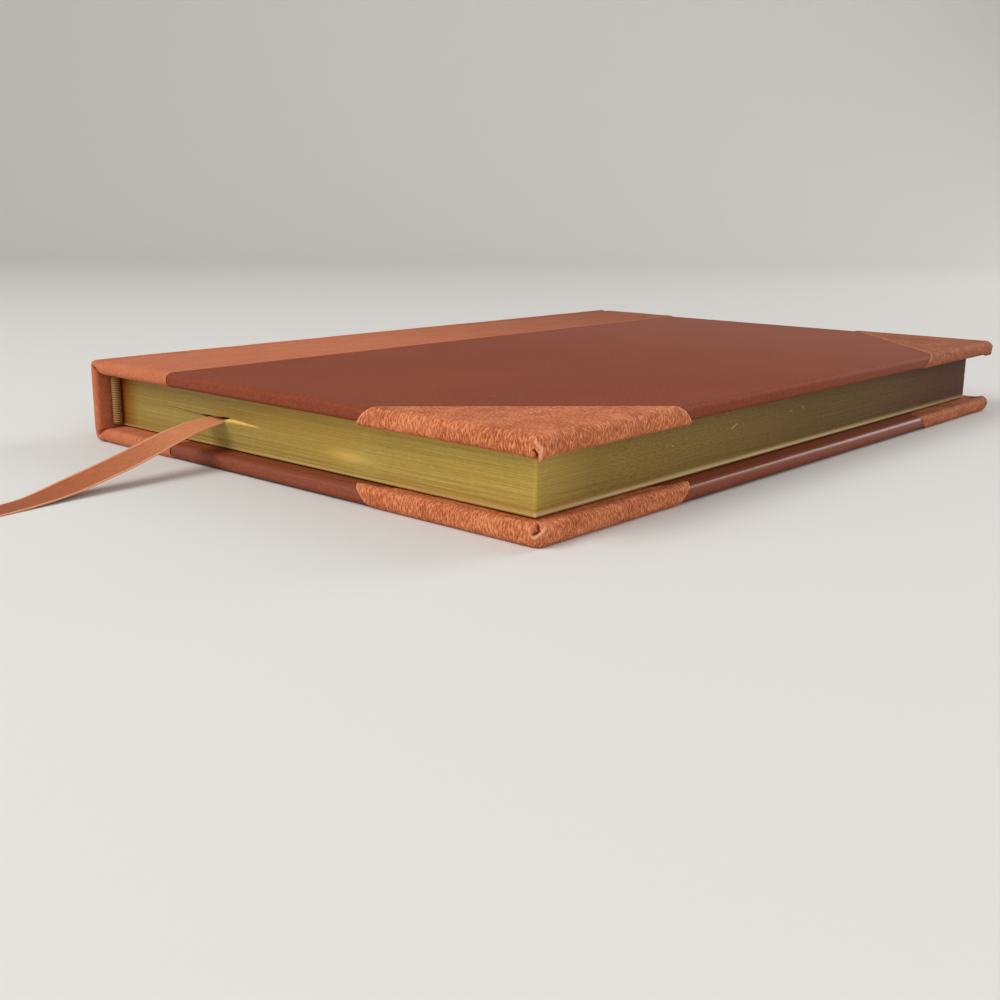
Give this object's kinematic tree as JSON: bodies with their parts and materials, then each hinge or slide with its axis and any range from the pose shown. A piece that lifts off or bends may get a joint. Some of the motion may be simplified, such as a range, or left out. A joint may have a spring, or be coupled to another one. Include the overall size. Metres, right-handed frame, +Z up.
{
  "type": "leather journal",
  "caption": "Half-leather bound journal with tan leather spine and corners, red-brown leather sides, gilt page edges, headbands, a satin ribbon marker and hinged covers.",
  "frame": {"origin": "under the middle of the closed book, on the surface that it lies on", "axes": "+X from the spine to the fore-edge, +Y from the tail to the head, +Z up through the front cover"},
  "size_m": [0.152, 0.2751, 0.0213],
  "materials": {
    "tan_leather": "matt grained",
    "brown_leather": "smooth satin",
    "gilt_pages": "gilt edges",
    "endpaper": "uncoated",
    "grey_board": "raw",
    "lining_card": "raw",
    "headband_thread": "silk",
    "spine_cloth": "open weave",
    "satin_ribbon": "satin"
  },
  "bodies": {
    "book_block": {"text_block": "gilt_pages", "front_flyleaf": "endpaper", "back_flyleaf": "endpaper", "headband_tail": "headband_thread", "headband_head": "headband_thread", "spine_lining": "spine_cloth", "spine_strip": "lining_card", "spine_leather": "tan_leather", "ribbon_marker": "satin_ribbon"},
    "front_cover": {"front_board": "grey_board", "front_spine_leather": "tan_leather", "front_corner_tail": "tan_leather", "front_corner_head": "tan_leather", "front_side_panel": "brown_leather", "front_board_lining": "lining_card", "front_pastedown": "endpaper"},
    "back_cover": {"back_board": "grey_board", "back_spine_leather": "tan_leather", "back_corner_tail": "tan_leather", "back_corner_head": "tan_leather", "back_side_panel": "brown_leather", "back_board_lining": "lining_card", "back_pastedown": "endpaper"}
  },
  "joints": [
    {"name": "front_cover_hinge", "type": "hinge", "parent": "book_block", "child": "front_cover", "pos_m": [-0.07134, 0, 0.0219], "axis": [0, -1, 0], "range_deg": [0, 180]},
    {"name": "back_cover_hinge", "type": "hinge", "parent": "book_block", "child": "back_cover", "pos_m": [-0.07134, 0, -0.0006], "axis": [0, 1, 0], "range_deg": [0, 180]}
  ]
}
